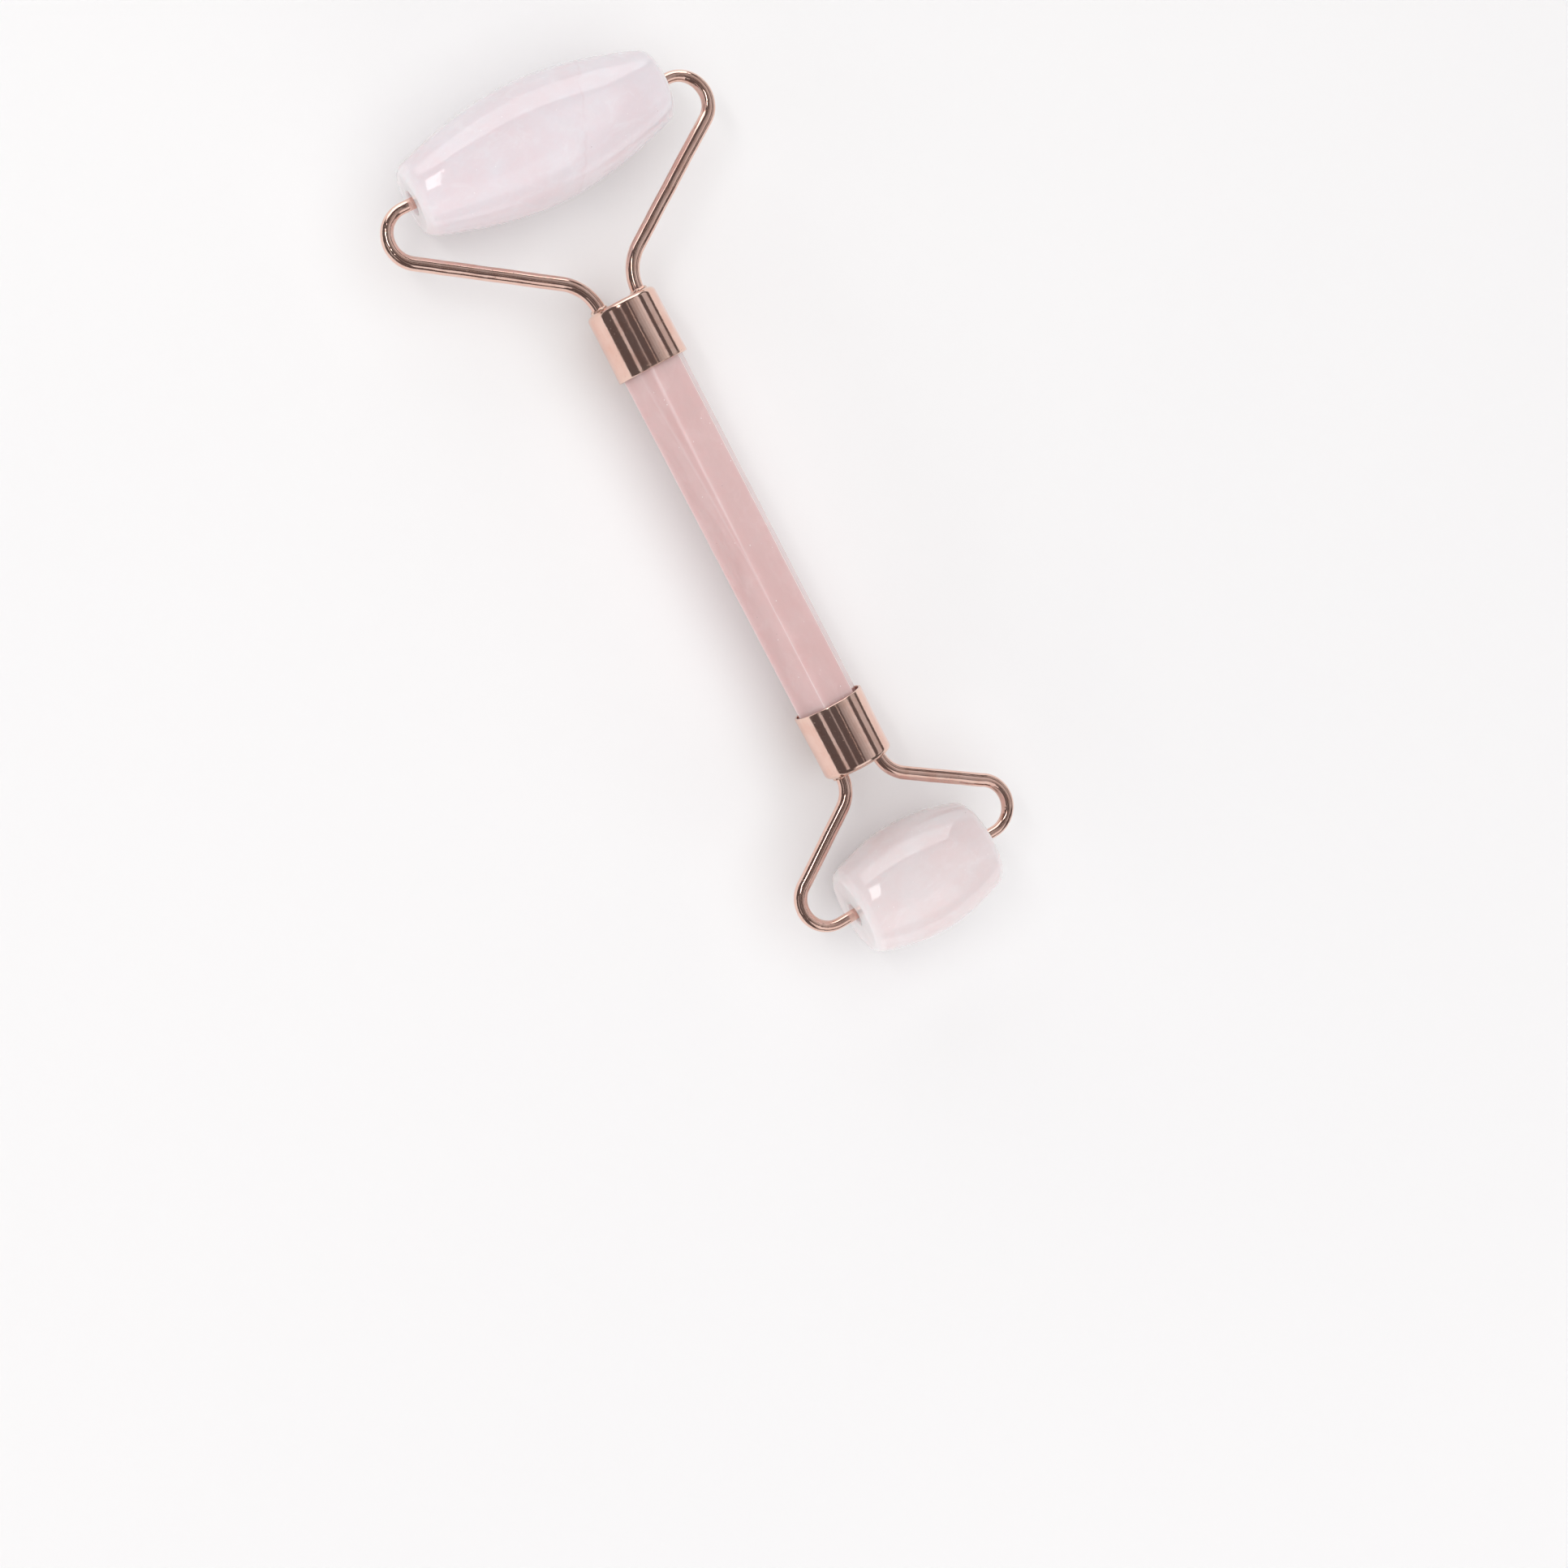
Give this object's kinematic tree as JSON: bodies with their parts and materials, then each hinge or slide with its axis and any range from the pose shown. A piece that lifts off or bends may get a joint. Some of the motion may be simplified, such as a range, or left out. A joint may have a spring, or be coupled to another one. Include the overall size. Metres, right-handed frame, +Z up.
{
  "type": "facial massage roller",
  "caption": "Two-ended facial massage roller: a barrel-shaped rose quartz stone spins in a wire fork at each end of a faceted stone handle with metal ferrules.",
  "frame": {"origin": "on the surface that the two stones rest on, below the middle of the whole length", "axes": "+X along the axes of both rollers, +Y along the handle towards the large roller, +Z up from the resting surface"},
  "size_m": [0.0566, 0.1458, 0.019],
  "materials": {
    "handle_stone": "polished dusty pink quartz, slightly translucent, with faint clouds",
    "roller_stone": "polished pale pink quartz, cloudy and translucent, with faint veils",
    "rose_gold": "mirror-polished rose-gold plating on turned brass",
    "rose_gold_wire": "polished rose-gold plating on bent round wire",
    "braze": "plated braze metal, slightly uneven",
    "cement": "set epoxy cement, off-white",
    "bush": "natural white nylon"
  },
  "bodies": {
    "handle_assembly": {"handle_bar": "handle_stone", "large_end_ferrule": "rose_gold", "small_end_ferrule": "rose_gold", "large_end_cement": "cement", "small_end_cement": "cement", "large_fork_arm_left": "rose_gold_wire", "large_fork_arm_right": "rose_gold_wire", "small_fork_arm_left": "rose_gold_wire", "small_fork_arm_right": "rose_gold_wire", "large_fork_braze_left": "braze", "large_fork_braze_right": "braze", "small_fork_braze_left": "braze", "small_fork_braze_right": "braze"},
    "large_roller": {"large_roller_stone": "roller_stone", "large_bush_left": "bush", "large_bush_right": "bush"},
    "small_roller": {"small_roller_stone": "roller_stone", "small_bush_left": "bush", "small_bush_right": "bush"}
  },
  "joints": [
    {"name": "large_roller_spin", "type": "hinge", "parent": "handle_assembly", "child": "large_roller", "pos_m": [0, 0.0634, 0.0095], "axis": [1, 0, 0], "continuous": true},
    {"name": "small_roller_spin", "type": "hinge", "parent": "handle_assembly", "child": "small_roller", "pos_m": [0, -0.0634, 0.0095], "axis": [1, 0, 0], "continuous": true}
  ]
}
